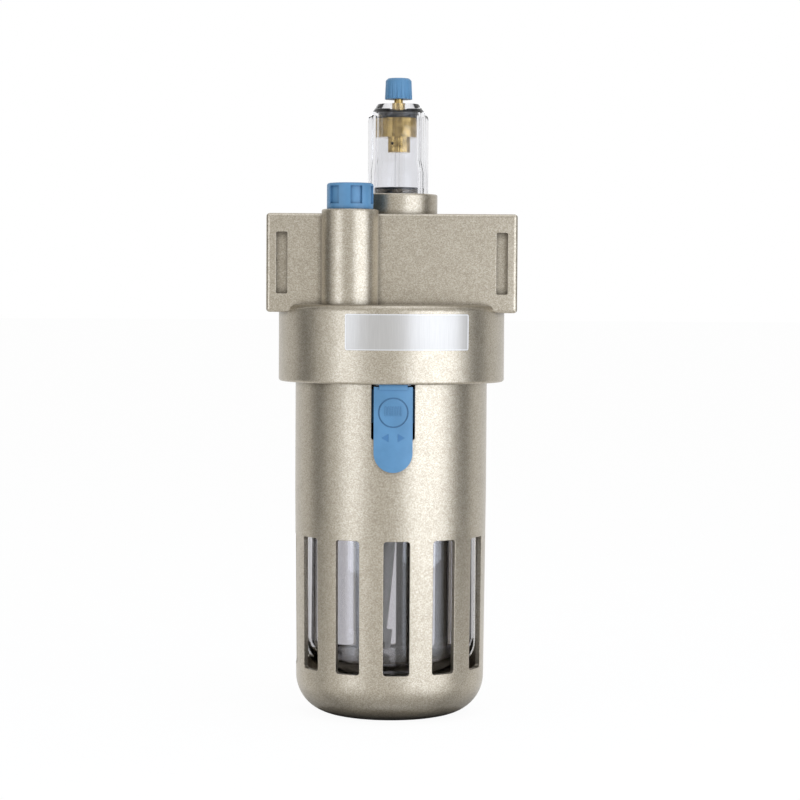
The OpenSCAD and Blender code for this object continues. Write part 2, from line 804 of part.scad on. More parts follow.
// The flat gasket under the dome's spigot
module dome_gasket() {
    color(black) translate([dome_x, 0, 0]) ring(chamber_r - 0.3, spigot_r - 0.1, dome_floor_z, gasket_t);
}

// The brass valve body: head, nose with its cross hole, and the neck that screws into the dome
module valve_body() {
    color(brass)
        translate([dome_x, 0, 0])
            difference() {
                union() {
                    translate([0, 0, nose_z]) cylinder(r = nose_r, h = nose_h + cut);
                    translate([0, 0, head_z]) cylinder(r = head_r, h = head_h);
                    translate([0, 0, head_z]) cylinder(r = neck_r, h = dome_top - head_z);
                }
                translate([0, 0, seat_top]) cylinder(r = stem_bore_r, h = dome_top - seat_top + cut);
                translate([0, 0, nose_z - cut]) cylinder(r = seat_r, h = seat_top - nose_z + 2 * cut);
                rotate([0, 0, -120])
                    translate([0, 0, seat_top + 1.2])
                        rotate([0, 90, 0])
                            cylinder(r = bleed_hole_r, h = nose_r + cut);
            }
}

// The black seal between the valve body's head and the dome's roof
module valve_seal() {
    color(black) translate([dome_x, 0, 0]) ring(neck_r + seal_gap, head_r, head_top, valve_seal_t);
}

// The needle: a stem with a groove for its seal, and a tapered tip over the seat
module needle_stem() {
    color(brass)
        translate([dome_x, 0, 0])
            difference() {
                union() {
                    translate([0, 0, needle_tip_z])
                        cylinder(r1 = needle_tip_r, r2 = stem_r, h = needle_cone_h);
                    translate([0, 0, needle_tip_z + needle_cone_h])
                        cylinder(r = stem_r, h = knob_z + knob_socket - needle_tip_z - needle_cone_h);
                }
                ring(stem_groove_r, stem_r + cut, stem_ring_z - stem_groove_h / 2, stem_groove_h);
            }
}

// The seal round the needle's stem
module needle_o_ring() {
    color(black) translate([dome_x, 0, 0]) o_ring(stem_ring_r, stem_ring_s, stem_ring_z);
}

// The fluted knob on the needle's stem
module needle_knob() {
    color(blue)
        translate([dome_x, 0, knob_z])
            difference() {
                rotate_extrude() {
                    polygon([
                        [0, 0],
                        [knob_r, 0],
                        [knob_top_r, knob_h - knob_round],
                        [knob_top_r - knob_round, knob_h],
                        [0, knob_h]
                    ]);
                }
                for (i = [0 : knob_flutes - 1])
                    rotate([0, 0, i * 360 / knob_flutes])
                        translate([knob_r + flute_r * 0.3, 0, -cut])
                            cylinder(r = flute_r, h = knob_h + 2 * cut, $fn = 24);
                translate([0, 0, -cut]) cylinder(r = stem_r + fit_gap, h = knob_socket + fit_gap + cut);
            }
}

// The fill plug: grip head with recessed panels, neck for the seal, and the threaded shank
module fill_plug() {
    color(blue)
        translate([-plug_x, -plug_y, 0])
            difference() {
                union() {
                    translate([0, 0, fill_top]) rounded_boss(plug_r, plug_h, plug_round);
                    translate([0, 0, fill_top - plug_reach]) cylinder(r = plug_neck_r, h = plug_reach + cut);
                    translate([0, 0, fill_top - plug_reach])
                        cylinder(r = plug_thread_r, h = plug_reach - plug_seat_h - 0.1);
                }
                for (i = [0 : plug_panels - 1])
                    arc_ring(plug_r - panel_depth, plug_r + cut,
                        fill_top + plug_rim_h, plug_h - plug_rim_h - plug_edge_h,
                        panel_turn + i * 360 / plug_panels - panel_angle / 2,
                        panel_turn + i * 360 / plug_panels + panel_angle / 2);
                translate([0, 0, fill_top + plug_h - plug_dish_h])
                    cylinder(r1 = plug_dish_r - plug_dish_h, r2 = plug_dish_r, h = plug_dish_h);
                translate([0, 0, fill_top - plug_reach - cut])
                    cylinder(r = plug_neck_r - 1.8, h = plug_reach + 4);
            }
}

// The seal under the fill plug's head
module fill_plug_o_ring() {
    color(black)
        translate([-plug_x, -plug_y, 0])
            o_ring(plug_ring_r, plug_ring_s, fill_top - plug_ring_s - seal_gap);
}

// Places children in the plane of the siphon tube's bend, with the bend's centre at the origin
module siphon_plane(angle) {
    translate([dome_x, siphon_y, tube_top_z])
        rotate([0, 0, tube_lean])
            translate([tube_bend_r, 0, 0])
                rotate([90, 0, 0])
                    rotate([0, 0, 180 + angle])
                        children();
}

// The tube that brings the oil up from the bowl, bent a little towards the front
module siphon_tube() {
    color([0.9, 0.9, 0.86, 0.6])
        siphon_plane(0)
            rotate_extrude(angle = tube_angle)
                translate([tube_bend_r, 0])
                    difference() {
                        circle(r = tube_r);
                        circle(r = tube_bore_r);
                    }
}

// The strainer on the tube's lower end, with slits round its foot
module siphon_strainer() {
    color("#d8d8d0")
        siphon_plane(tube_angle)
            translate([tube_bend_r, 0, 0])
                rotate([-90, 0, 0])
                    difference() {
                        translate([0, 0, -strainer_grip]) cylinder(r = strainer_r, h = strainer_h);
                        translate([0, 0, -strainer_grip - cut])
                            cylinder(r = tube_r + fit_gap, h = strainer_grip + cut + fit_gap);
                        cylinder(r = tube_bore_r, h = strainer_tip - 1);
                        for (i = [0 : strainer_slits / 2 - 1])
                            rotate([0, 0, i * 360 / strainer_slits])
                                translate([-strainer_r - cut, -0.5, 1.2])
                                    cube([2 * (strainer_r + cut), 1, strainer_tip - 2.6]);
                    }
}

// The fitting that carries the siphon tube and holds the check ball
module siphon_fitting() {
    color("#e4e2dc")
        translate([dome_x, siphon_y, 0])
            difference() {
                union() {
                    translate([0, 0, fitting_z]) cylinder(r = fitting_flange_r, h = fitting_flange_h);
                    translate([0, 0, fitting_z]) cylinder(r = fitting_r, h = fitting_top - fitting_z);
                    translate([0, 0, fitting_z - nipple_h]) cylinder(r = nipple_r, h = nipple_h + cut);
                }
                translate([0, 0, fitting_z - nipple_h - cut])
                    cylinder(r = ball_seat_r, h = ball_seat_z - fitting_z + nipple_h + 2 * cut);
                translate([0, 0, ball_seat_z])
                    cylinder(r = ball_room_r, h = fitting_top - ball_seat_z + cut);
            }
}

// The ball that keeps the oil from running back
module check_ball() {
    rest_z = ball_seat_z + sqrt(ball_r * ball_r - ball_seat_r * ball_seat_r) + seal_gap;
    color("silver") translate([dome_x, siphon_y, rest_z]) sphere(r = ball_r);
}

// The ring that holds the damper in the inlet passage, with the flap's seat
module damper_retainer() {
    color("#e4e2dc")
        translate([damper_x, 0, port_z])
            rotate([0, 90, 0])
                difference() {
                    cylinder(r = damper_r, h = damper_len);
                    translate([0, 0, flap_seat_x - damper_x])
                        cylinder(r = damper_r - damper_wall, h = damper_len);
                    translate([0, 0, -cut]) cylinder(r = flap_seat_r, h = damper_len);
                    translate([0, 0, -cut])
                        cylinder(r = damper_r - damper_wall, h = flap_seat_x - damper_x - 1.2 + cut);
                }
}

// The flexible flap that the air bends open
module damper_flap() {
    color(black)
        translate([flap_seat_x, 0, port_z])
            rotate([0, 90, 0])
                cylinder(r = damper_r - damper_wall - 0.3, h = flap_t);
}

// The plug that closes the cross drilling at the rear, with its key socket
module gallery_plug() {
    color("#8f8f8c")
        translate([dome_x, block_d / 2 - 0.3, gallery_z])
            rotate([90, 0, 0])
                difference() {
                    cylinder(r = gallery_plug_r, h = gallery_plug_len - 0.3);
                    translate([0, 0, -cut]) cylinder(r = 0.9, h = 1.6 + cut, $fn = 6);
                }
}

// The nozzle that lets the oil drip into the air stream
module drip_nozzle() {
    color(brass)
        translate([dome_x, 0, 0])
            difference() {
                union() {
                    translate([0, 0, dome_floor_z]) cylinder(r = nozzle_flange_r, h = nozzle_flange_h);
                    translate([0, 0, nozzle_tip_z]) cylinder(r = nozzle_r, h = nozzle_top - nozzle_tip_z);
                }
                translate([0, 0, nozzle_tip_z - cut])
                    cylinder(r = nozzle_bore_r, h = nozzle_top - nozzle_tip_z + 2 * cut);
            }
}

body_casting();
bowl_guard();
oil_bowl();
bowl_o_ring();
lock_button();
lock_spring();
sight_dome();
dome_o_ring();
dome_gasket();
valve_body();
valve_seal();
needle_stem();
needle_o_ring();
needle_knob();
fill_plug();
fill_plug_o_ring();
siphon_tube();
siphon_strainer();
siphon_fitting();
check_ball();
damper_retainer();
damper_flap();
gallery_plug();
drip_nozzle();
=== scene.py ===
# Air line lubricator: finishes, label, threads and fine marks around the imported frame.
import json
import math

import bmesh
import bpy
from mathutils import Matrix, Vector


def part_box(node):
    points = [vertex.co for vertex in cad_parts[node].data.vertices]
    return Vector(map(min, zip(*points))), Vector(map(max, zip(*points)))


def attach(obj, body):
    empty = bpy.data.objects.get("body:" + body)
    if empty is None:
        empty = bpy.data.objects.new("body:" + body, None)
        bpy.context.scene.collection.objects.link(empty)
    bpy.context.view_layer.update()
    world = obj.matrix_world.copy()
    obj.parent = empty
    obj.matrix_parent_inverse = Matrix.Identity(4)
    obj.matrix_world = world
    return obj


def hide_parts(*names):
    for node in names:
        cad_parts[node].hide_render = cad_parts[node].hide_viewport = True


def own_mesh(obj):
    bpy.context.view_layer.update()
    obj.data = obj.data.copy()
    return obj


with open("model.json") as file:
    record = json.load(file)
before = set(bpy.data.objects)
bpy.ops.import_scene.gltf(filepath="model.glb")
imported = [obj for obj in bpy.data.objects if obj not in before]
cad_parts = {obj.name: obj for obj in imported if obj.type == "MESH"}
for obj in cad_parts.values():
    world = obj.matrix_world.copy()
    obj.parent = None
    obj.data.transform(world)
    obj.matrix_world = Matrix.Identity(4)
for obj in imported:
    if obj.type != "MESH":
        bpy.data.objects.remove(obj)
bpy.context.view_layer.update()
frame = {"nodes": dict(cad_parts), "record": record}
print("frame loaded:", len(frame["nodes"]), "nodes")

mm = 0.001


def hexColour(code):
    # sRGB hex to the linear values that shaders take
    parts = [int(code[i:i + 2], 16) / 255 for i in (1, 3, 5)]
    linear = [c / 12.92 if c <= 0.04045 else ((c + 0.055) / 1.055) ** 2.4 for c in parts]
    return (*linear, 1.0)


def addNode(tree, kind, values=None, links=None, **settings):
    # a node with its settings, its input values and the sockets that feed it
    node = tree.nodes.new(kind)
    for name, value in settings.items():
        setattr(node, name, value)
    for name, value in (values or {}).items():
        node.inputs[name].default_value = value
    for name, socket in (links or {}).items():
        tree.links.new(socket, node.inputs[name])
    return node


def newMaterial(name):
    # an empty node material with its output and object coordinates ready
    material = bpy.data.materials.new(name)
    material.use_nodes = True
    tree = material.node_tree
    tree.nodes.clear()
    output = addNode(tree, "ShaderNodeOutputMaterial")
    place = addNode(tree, "ShaderNodeTexCoord").outputs["Object"]
    return material, tree, output, place


def rampColours(ramp, stops):
    # stops are (position, colour); the ramp starts with two of its own
    while len(ramp.elements) < len(stops):
        ramp.elements.new(0.5)
    for element, (position, colour) in zip(ramp.elements, stops):
        element.position = position
        element.color = colour


def addCreaseShade(tree, spec, colour):
    # paints shade into a colour where the surface is closed in: a painted shade, darkest in inner corners,
    # creases and recesses
    openness = addNode(tree, "ShaderNodeAmbientOcclusion", {"Distance": spec["creaseReach"]}, samples=8)
    crease = addNode(tree, "ShaderNodeMapRange",
                     {"From Min": spec["creaseFull"], "From Max": spec["creaseNone"],
                      "To Min": spec["creaseShadeDepth"], "To Max": 0.0},
                     {"Value": openness.outputs["AO"]})
    return addNode(tree, "ShaderNodeMixRGB", {"Color2": hexColour(spec["creaseShadeColour"])},
                   {"Fac": crease.outputs["Result"], "Color1": colour})


def roughnessRange(middle):
    # how far the fine grain of a surface moves its roughness below and above the middle
    return {"To Min": middle - 0.04, "To Max": middle + 0.06}


# Metallic paint sprayed on die-cast aluminium: a grey champagne with fine aluminium flake under a satin
# clear coat. Each flake is a cell with its own shade, faint clouds lie under them, and a few pinholes show.
paint = {
    "flakeSize": 0.3 * mm,       # real flake is finer than this, drawn coarser so that it shows
    "cloudSize": 5.0 * mm,
    "flakeShare": 0.7,           # of the shade, against the clouds
    "dark": "#968D7D",
    "middle": "#A89F8E",
    "light": "#B9B1A2",
    "pinholeSpread": 4.5 * mm,
    "pinholeRadius": 0.12 * mm,
    "pinholeColour": "#6E665A",
    "metallic": 0.9,
    "roughness": 0.36,
    "coat": 0.2,
    "coatRoughness": 0.25,
    "bump": 0.01 * mm,
    "edgeRadius": 0.4 * mm,
    # painted shade in the slots, inner corners and joints, such as the line under the collar
    "creaseReach": 3.0 * mm,
    "creaseFull": 0.25,          # share of open sky at which a crease is darkest
    "creaseNone": 0.85,          # and from which there is none
    "creaseShadeColour": "#443D32",
    "creaseShadeDepth": 0.85,
}


def makePaint(name, spec):
    material, tree, output, place = newMaterial(name)
    flake = addNode(tree, "ShaderNodeTexVoronoi", {"Scale": 1 / spec["flakeSize"]}, {"Vector": place})
    shade = addNode(tree, "ShaderNodeSeparateColor", links={"Color": flake.outputs["Color"]})
    cloud = addNode(tree, "ShaderNodeTexNoise", {"Scale": 1 / spec["cloudSize"], "Detail": 4.0},
                    {"Vector": place})
    both = addNode(tree, "ShaderNodeMix", {"Factor": spec["flakeShare"]},
                   {"A": cloud.outputs["Fac"], "B": shade.outputs["Red"]})
    tone = addNode(tree, "ShaderNodeValToRGB", links={"Fac": both.outputs["Result"]})
    rampColours(tone.color_ramp, [
        (0.15, hexColour(spec["dark"])),
        (0.5, hexColour(spec["middle"])),
        (0.85, hexColour(spec["light"])),
    ])
    hole = addNode(tree, "ShaderNodeTexVoronoi", {"Scale": 1 / spec["pinholeSpread"]}, {"Vector": place})
    inside = addNode(tree, "ShaderNodeMath", {1: spec["pinholeRadius"] / spec["pinholeSpread"]},
                     {0: hole.outputs["Distance"]}, operation="LESS_THAN")
    pitted = addNode(tree, "ShaderNodeMixRGB", {"Color2": hexColour(spec["pinholeColour"])},
                     {"Fac": inside.outputs[0], "Color1": tone.outputs["Color"]})
    # painted shade: the paint turns darker where the surface is closed in
    colour = addCreaseShade(tree, spec, pitted.outputs["Color"])
    rough = addNode(tree, "ShaderNodeMapRange", roughnessRange(spec["roughness"]),
                    {"Value": shade.outputs["Green"]})
    edge = addNode(tree, "ShaderNodeBevel", {"Radius": spec["edgeRadius"]}, samples=6)
    grit = addNode(tree, "ShaderNodeTexNoise", {"Scale": 1 / spec["flakeSize"], "Detail": 2.0},
                   {"Vector": place})
    bump = addNode(tree, "ShaderNodeBump", {"Strength": 0.5, "Distance": spec["bump"]},
                   {"Height": grit.outputs["Fac"], "Normal": edge.outputs["Normal"]})
    shader = addNode(tree, "ShaderNodeBsdfPrincipled",
                     {"Metallic": spec["metallic"], "Coat Weight": spec["coat"],
                      "Coat Roughness": spec["coatRoughness"]},
                     {"Base Color": colour.outputs["Color"], "Roughness": rough.outputs["Result"],
                      "Normal": bump.outputs["Normal"]})
    tree.links.new(shader.outputs["BSDF"], output.inputs["Surface"])
    return material


# Acetal, injection moulded and left satin: an even sky blue with the faint orange-peel of the tool.
bluePlastic = {
    "colour": "#6094BC",
    "shade": "#5789AF",
    "peelSize": 0.5 * mm,
    "cloudSize": 9 * mm,
    "roughness": 0.42,
    "ior": 1.48,
    "bump": 0.01 * mm,
    # painted shade in the knob's flutes, the plug's panels and the groove round the button
    "creaseReach": 1.5 * mm,
    "creaseFull": 0.3,
    "creaseNone": 0.95,
    "creaseShadeColour": "#25527A",
    "creaseShadeDepth": 0.8,
}


def makeMoulded(name, spec):
    material, tree, output, place = newMaterial(name)
    cloud = addNode(tree, "ShaderNodeTexNoise", {"Scale": 1 / spec["cloudSize"], "Detail": 3.0},
                    {"Vector": place})
    peel = addNode(tree, "ShaderNodeTexNoise", {"Scale": 1 / spec["peelSize"], "Detail": 2.0},
                   {"Vector": place})
    tone = addNode(tree, "ShaderNodeValToRGB", links={"Fac": cloud.outputs["Fac"]})
    rampColours(tone.color_ramp, [(0.35, hexColour(spec["shade"])), (0.65, hexColour(spec["colour"]))])
    # painted shade: the colour turns darker in creases and recesses
    colour = addCreaseShade(tree, spec, tone.outputs["Color"])
    rough = addNode(tree, "ShaderNodeMapRange",
                    {"From Min": 0.3, "From Max": 0.7, **roughnessRange(spec["roughness"])},
                    {"Value": peel.outputs["Fac"]})
    bump = addNode(tree, "ShaderNodeBump", {"Strength": 0.4, "Distance": spec["bump"]},
                   {"Height": peel.outputs["Fac"]})
    shader = addNode(tree, "ShaderNodeBsdfPrincipled", {"IOR": spec["ior"], "Metallic": 0.0},
                     {"Base Color": colour.outputs["Color"], "Roughness": rough.outputs["Result"],
                      "Normal": bump.outputs["Normal"]})
    tree.links.new(shader.outputs["BSDF"], output.inputs["Surface"])
    return material


# Polycarbonate, injection moulded and polished: clear with a faint cool cast and a slight wave from the
# moulding.
clearPlastic = {
    "tint": "#D4D3D6",
    "waveSize": 14 * mm,
    "roughness": 0.015,
    "bump": 0.02 * mm,
    "ior": 1.585,
}

# The sight dome's wall is thin and bends what is behind it little, so it takes a lower index.
domePlastic = dict(clearPlastic, tint="#E9E9EB", waveSize=6 * mm, ior=1.3, roughness=0.01)


def makeClear(name, spec):
    material, tree, output, place = newMaterial(name)
    wave = addNode(tree, "ShaderNodeTexNoise", {"Scale": 1 / spec["waveSize"], "Detail": 1.0},
                   {"Vector": place})
    rough = addNode(tree, "ShaderNodeMapRange",
                    {"To Min": spec["roughness"], "To Max": spec["roughness"] * 3},
                    {"Value": wave.outputs["Fac"]})
    bump = addNode(tree, "ShaderNodeBump", {"Strength": 0.3, "Distance": spec["bump"]},
                   {"Height": wave.outputs["Fac"]})
    shader = addNode(tree, "ShaderNodeBsdfPrincipled",
                     {"Base Color": hexColour(spec["tint"]), "Transmission Weight": 1.0,
                      "IOR": spec["ior"]},
                     {"Roughness": rough.outputs["Result"], "Normal": bump.outputs["Normal"]})
    tree.links.new(shader.outputs["BSDF"], output.inputs["Surface"])
    return material


# Free-cutting brass, turned on a lathe: warm yellow with fine rings from the tool.
turnedBrass = {
    "light": "#C2A86F",
    "dark": "#6A5528",
    "ringPitch": 0.35 * mm,
    "ringShare": 0.3,
    "stainSize": 2.5 * mm,
    "roughness": 0.14,
    "bump": 0.006 * mm,
}


def makeTurned(name, spec):
    material, tree, output, place = newMaterial(name)
    rings = addNode(tree, "ShaderNodeTexWave",
                    {"Scale": 0.5 / spec["ringPitch"], "Distortion": 0.4, "Detail": 2.0},
                    {"Vector": place}, wave_type="BANDS", bands_direction="Z")
    stain = addNode(tree, "ShaderNodeTexNoise", {"Scale": 1 / spec["stainSize"], "Detail": 4.0},
                    {"Vector": place})
    mixed = addNode(tree, "ShaderNodeMath", {1: spec["ringShare"]},
                    {0: rings.outputs["Fac"], 2: stain.outputs["Fac"]}, operation="MULTIPLY_ADD")
    tone = addNode(tree, "ShaderNodeValToRGB", links={"Fac": mixed.outputs[0]})
    rampColours(tone.color_ramp, [(0.4, hexColour(spec["dark"])), (0.85, hexColour(spec["light"]))])
    bump = addNode(tree, "ShaderNodeBump", {"Strength": 0.5, "Distance": spec["bump"]},
                   {"Height": rings.outputs["Fac"]})
    shader = addNode(tree, "ShaderNodeBsdfPrincipled", {"Metallic": 1.0, "Roughness": spec["roughness"]},
                     {"Base Color": tone.outputs["Color"], "Normal": bump.outputs["Normal"]})
    tree.links.new(shader.outputs["BSDF"], output.inputs["Surface"])
    return material


# Steel, ground bright: a cool grey with finer rings than the brass has.
brightSteel = {
    "light": "#C9CACC",
    "dark": "#8F9194",
    "ringPitch": 0.2 * mm,
    "ringShare": 0.3,
    "stainSize": 2.5 * mm,
    "roughness": 0.3,
    "bump": 0.004 * mm,
}

# Nitrile rubber, moulded: near black, dull, with a fine bloom.
sealRubber = {
    "colour": "#232324",
    "shade": "#151516",
    "peelSize": 0.3 * mm,
    "cloudSize": 2 * mm,
    "roughness": 0.6,
    "ior": 1.48,
    "bump": 0.015 * mm,
    # painted shade in creases and recesses
    "creaseReach": 1.0 * mm,
    "creaseFull": 0.3,
    "creaseNone": 0.95,
    "creaseShadeColour": "#0C0C0C",
    "creaseShadeDepth": 0.3,
}

# Nylon tube and mouldings, milky white, satin.
milkyNylon = {
    "colour": "#E6E5DE",
    "shade": "#D5D4CC",
    "peelSize": 0.4 * mm,
    "cloudSize": 6 * mm,
    "roughness": 0.4,
    "ior": 1.48,
    "bump": 0.008 * mm,
    # painted shade in creases and recesses
    "creaseReach": 1.0 * mm,
    "creaseFull": 0.3,
    "creaseNone": 0.95,
    "creaseShadeColour": "#8F8E86",
    "creaseShadeDepth": 0.3,
}

# Polyester label film with a silver-white pearl: satin, with a very fine upright brushing.
labelFilm = {
    "light": "#BCB9B4",
    "dark": "#B3B0AB",
    "brushWide": 0.25 * mm,
    "brushLong": 9 * mm,
    "metallic": 0.45,
    "roughness": 0.36,
    "varnish": 0.3,
    "varnishRoughness": 0.12,
}

# The label's edge is drawn as a paler line, with less metal in it.
labelBorder = dict(labelFilm, light="#E2E1DF", dark="#DBDAD8", metallic=0.2)


def makeLabelFilm(name, spec):
    material, tree, output, place = newMaterial(name)
    brushed = addNode(tree, "ShaderNodeMapping",
                      {"Scale": (1 / spec["brushWide"], 1 / spec["brushWide"], 1 / spec["brushLong"])},
                      {"Vector": place})
    lines = addNode(tree, "ShaderNodeTexNoise", {"Scale": 1.0, "Detail": 3.0},
                    {"Vector": brushed.outputs["Vector"]})
    tone = addNode(tree, "ShaderNodeValToRGB", links={"Fac": lines.outputs["Fac"]})
    rampColours(tone.color_ramp, [(0.3, hexColour(spec["dark"])), (0.7, hexColour(spec["light"]))])
    shader = addNode(tree, "ShaderNodeBsdfPrincipled",
                     {"Metallic": spec["metallic"], "Roughness": spec["roughness"],
                      "Coat Weight": spec["varnish"], "Coat Roughness": spec["varnishRoughness"]},
                     {"Base Color": tone.outputs["Color"]})
    tree.links.new(shader.outputs["BSDF"], output.inputs["Surface"])
    return material


# The arrows on the button: the same plastic with the shade of an engraved recess painted in, a painted shade
# of darker blue with a rim of painted shade that is darker still.
engravedShadeBlue = dict(bluePlastic, colour="#4A7FAE", shade="#4376A4", roughness=0.5)
engravedRimShade = dict(bluePlastic, colour="#2E5F88", shade="#28567C", roughness=0.5)

materials = {
    "castPaint": makePaint("champagnePaintOnCasting", paint),
    "guardPaint": makePaint("champagnePaintOnGuard", dict(paint, cloudSize=4.0 * mm)),
    "blue": makeMoulded("blueAcetal", bluePlastic),
    "engravedShade": makeMoulded("blueAcetalEngravedShade", engravedShadeBlue),
    "engravedRimShade": makeMoulded("blueAcetalEngravedRimShade", engravedRimShade),
    "bowlClear": makeClear("polycarbonateBowl", clearPlastic),
    "domeClear": makeClear("polycarbonateDome", domePlastic),
    "brass": makeTurned("turnedBrass", turnedBrass),
    "steel": makeTurned("brightSteel", brightSteel),
    "rubber": makeMoulded("nitrileRubber", sealRubber),
    "nylon": makeMoulded("milkyNylon", milkyNylon),
    "label": makeLabelFilm("silverLabelFilm", labelFilm),
    "labelBorder": makeLabelFilm("silverLabelBorder", labelBorder),
}
print("materials made:", len(materials))

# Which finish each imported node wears
nodeFinish = {
    "body_casting": "castPaint",
    "bowl_guard": "guardPaint",
    "oil_bowl": "bowlClear",
    "sight_dome": "domeClear",
    "bowl_o_ring": "rubber",
    "dome_o_ring": "rubber",
    "dome_gasket": "rubber",
    "valve_seal": "rubber",
    "needle_o_ring": "rubber",
    "fill_plug_o_ring": "rubber",
    "damper_flap": "rubber",
    "lock_button": "blue",
    "needle_knob": "blue",
    "fill_plug": "blue",
    "valve_body": "brass",
    "needle_stem": "brass",
    "drip_nozzle": "brass",
    "lock_spring": "steel",
    "check_ball": "steel",
    "gallery_plug": "steel",
    "siphon_tube": "nylon",
    "siphon_strainer": "nylon",
    "siphon_fitting": "nylon",
    "damper_retainer": "nylon",
}
for nodeName, finish in nodeFinish.items():
    mesh = frame["nodes"][nodeName].data
    mesh.materials.clear()
    mesh.materials.append(materials[finish])
print("finishes put on nodes:", len(nodeFinish))


sharpAngle = math.radians(35)    # faces that meet at more than this keep a crisp edge between them


def finishPiece(name, bm, finishes, body):
    # turns a bmesh into a piece of the object: normals out, smooth but for sharp edges, riding on its body
    bmesh.ops.remove_doubles(bm, verts=bm.verts[:], dist=0.001 * mm)
    bmesh.ops.recalc_face_normals(bm, faces=bm.faces[:])
    for face in bm.faces:
        face.smooth = True
    for edge in bm.edges:
        edge.smooth = edge.is_manifold and edge.calc_face_angle(0) < sharpAngle
    mesh = bpy.data.meshes.new(name)
    bm.to_mesh(mesh)
    bm.free()
    piece = bpy.data.objects.new(name, mesh)
    bpy.context.scene.collection.objects.link(piece)
    for finish in finishes:
        mesh.materials.append(materials[finish])
    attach(piece, body)
    return piece


def spinProfile(bm, points, centre, axis, angle, steps, rise=0.0):
    # sweeps a closed outline of points round an axis, rising along it if asked, and closes what stays open
    corners = [bm.verts.new(p) for p in points]
    outline = bm.faces.new(corners)
    full = abs(angle - math.tau) < 1e-6 and rise == 0.0
    bmesh.ops.spin(bm, geom=[outline], cent=centre, axis=axis, dvec=Vector(axis) * rise / steps,
                   angle=angle, steps=steps, use_merge=full)
    if full:
        leftOver = [f for f in bm.faces if len(f.verts) > 4 or f is outline]
        bmesh.ops.delete(bm, geom=leftOver, context="FACES_ONLY")


# The label round the collar's front, left bare, with a narrow edge that stands a little proud
label = {
    "from": math.radians(-23.25),    # turn from the front, positive towards the outlet
    "to": math.radians(41.1),
    "bottom": 133.4 * mm,
    "top": 146.1 * mm,
    "gap": 0.01 * mm,                # of adhesive, between the paint and the film
    "thickness": 0.14 * mm,
    "corner": 0.7 * mm,
    "border": 0.35 * mm,
    "borderProud": 0.04 * mm,
    "steps": 64,
}


def makeLabel():
    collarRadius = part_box("body_casting")[1].y  # the collar is the casting's widest part, front to rear
    inner = collarRadius + label["gap"]
    outer = inner + label["thickness"]
    bm = bmesh.new()
    start = Matrix.Rotation(label["from"], 3, "Z")
    outline = [start @ Vector((0, -r, z)) for r, z in (
        (inner, label["bottom"]), (outer, label["bottom"]), (outer, label["top"]), (inner, label["top"]))]
    spinProfile(bm, outline, (0, 0, 0), (0, 0, 1), label["to"] - label["from"], label["steps"])
    bmesh.ops.remove_doubles(bm, verts=bm.verts[:], dist=0.001 * mm)
    corners = []
    for edge in bm.edges:
        a, b = (v.co for v in edge.verts)
        across = abs(math.hypot(a.x, a.y) - math.hypot(b.x, b.y))
        turn = math.atan2(a.x, -a.y)
        atEnd = min(abs(turn - label["from"]), abs(turn - label["to"])) < 1e-4
        if atEnd and abs(a.z - b.z) < 1e-7 and across > 0.5 * label["thickness"]:
            corners.append(edge)
    bmesh.ops.bevel(bm, geom=corners, offset=label["corner"], segments=4, profile=0.5,
                    affect="EDGES", material=-1)
    bmesh.ops.recalc_face_normals(bm, faces=bm.faces[:])
    nearOuter = outer - 0.01 * mm
    front = [f for f in bm.faces if all(math.hypot(v.co.x, v.co.y) > nearOuter for v in f.verts)]
    rim = bmesh.ops.inset_region(bm, faces=front, thickness=label["border"], depth=0.0)
    for face in rim["faces"]:
        face.material_index = 1
    sunk = {v for f in front for v in f.verts}
    for vert in sunk:
        reach = math.hypot(vert.co.x, vert.co.y)
        vert.co.xy *= (reach - label["borderProud"]) / reach
    finishPiece("collarLabel", bm, ["label", "labelBorder"], "housing")


# The grip ribs and the two plain arrows on the lock button
buttonMarks = {
    "turn": math.radians(1.2),       # of the button's middle from the front
    "plateRadius": 37.2 * mm,
    "ribZ": 112.0 * mm,
    "ribCount": 7,
    "ribPitch": 0.9 * mm,
    "ribWidth": 0.36 * mm,
    "ribHeight": 3.2 * mm,
    "ribProud": 0.16 * mm,
    "ribEdge": 0.08 * mm,
    "arrowZ": 102.6 * mm,
    "arrowNear": 1.65 * mm,
    "arrowFar": 4.05 * mm,
    "arrowTall": 2.8 * mm,
    "arrowRim": 0.3 * mm,
    "arrowProud": 0.1 * mm,
}


def wrapToRadius(bm, radius):
    # bends what was drawn flat at the front, with its depth along -Y from zero, round the guard's axis
    for vert in bm.verts:
        turn = vert.co.x / radius + buttonMarks["turn"]
        reach = radius - vert.co.y
        vert.co = Vector((math.sin(turn) * reach, -math.cos(turn) * reach, vert.co.z))


def makeGripRibs(radius):
    bm = bmesh.new()
    middle = (buttonMarks["ribCount"] - 1) / 2
    ribSize = (buttonMarks["ribWidth"], 2 * buttonMarks["ribProud"], buttonMarks["ribHeight"])
    for i in range(buttonMarks["ribCount"]):
        made = bmesh.ops.create_cube(bm, size=1.0)
        bmesh.ops.transform(bm, matrix=Matrix.Diagonal(ribSize).to_4x4(), verts=made["verts"])
        bmesh.ops.translate(bm, vec=((i - middle) * buttonMarks["ribPitch"], 0, buttonMarks["ribZ"]),
                            verts=made["verts"])
    outer = [e for e in bm.edges if all(v.co.y < 0 for v in e.verts)]
    bmesh.ops.bevel(bm, geom=outer, offset=buttonMarks["ribEdge"], segments=2, profile=0.5,
                    affect="EDGES", material=-1)
    wrapToRadius(bm, radius)
    finishPiece("buttonGripRibs", bm, ["blue"], "lock")


